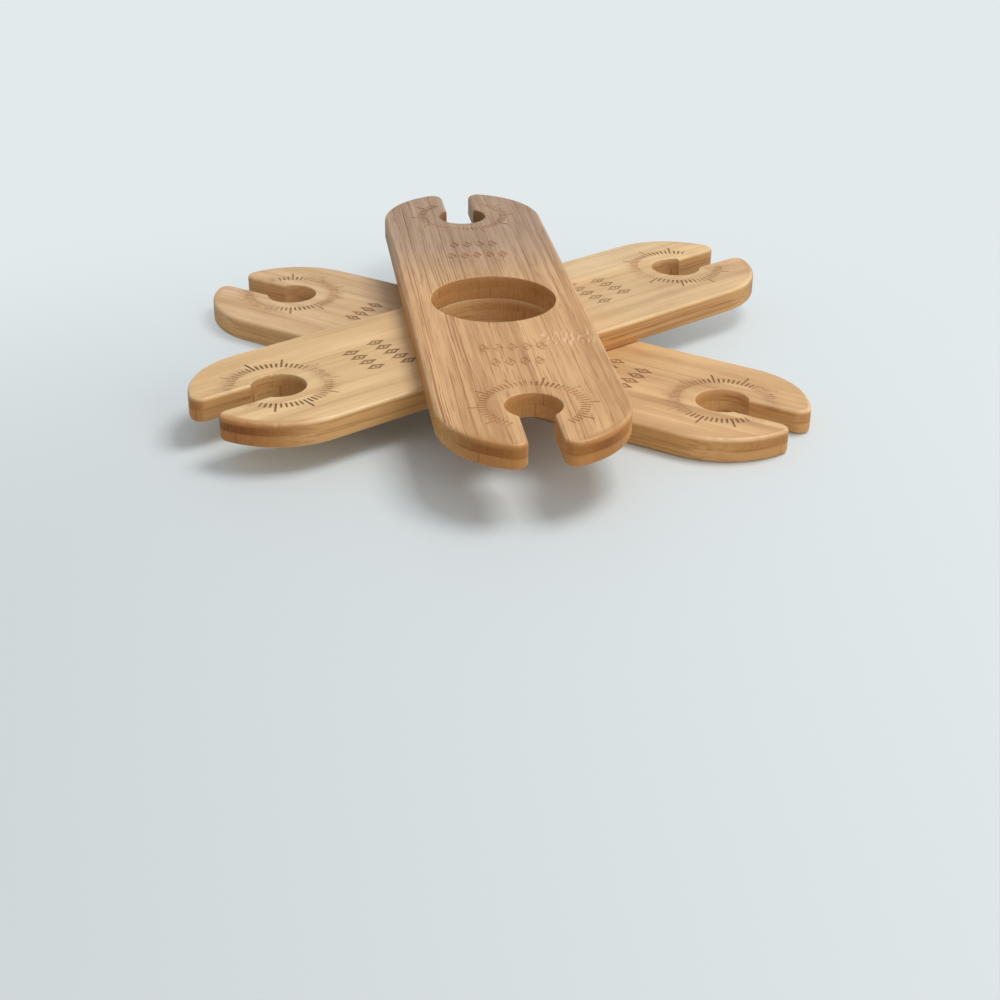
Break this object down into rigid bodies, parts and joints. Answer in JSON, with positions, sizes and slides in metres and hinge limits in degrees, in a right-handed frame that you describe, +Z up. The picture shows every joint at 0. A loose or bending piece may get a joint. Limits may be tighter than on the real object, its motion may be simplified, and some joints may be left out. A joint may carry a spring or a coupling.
{
  "type": "hanging wine glass rack",
  "caption": "Flat wooden boards fanned in a stack round a shared neck hole, each with an open keyhole at either end that hangs a wine glass by its foot.",
  "frame": {"origin": "centre of the neck hole at the underside of the stack, where the bottom board would lie on a table", "axes": "+Z up along the neck hole; +X along the bottom board, whose two keyholes lie on the X axis"},
  "size_m": [0.2194, 0.2132, 0.024],
  "materials": {
    "bamboo": "satin clear lacquer"
  },
  "bodies": {
    "root": {"board_bottom": "bamboo", "board_middle": "bamboo", "board_top": "bamboo"}
  },
  "joints": []
}
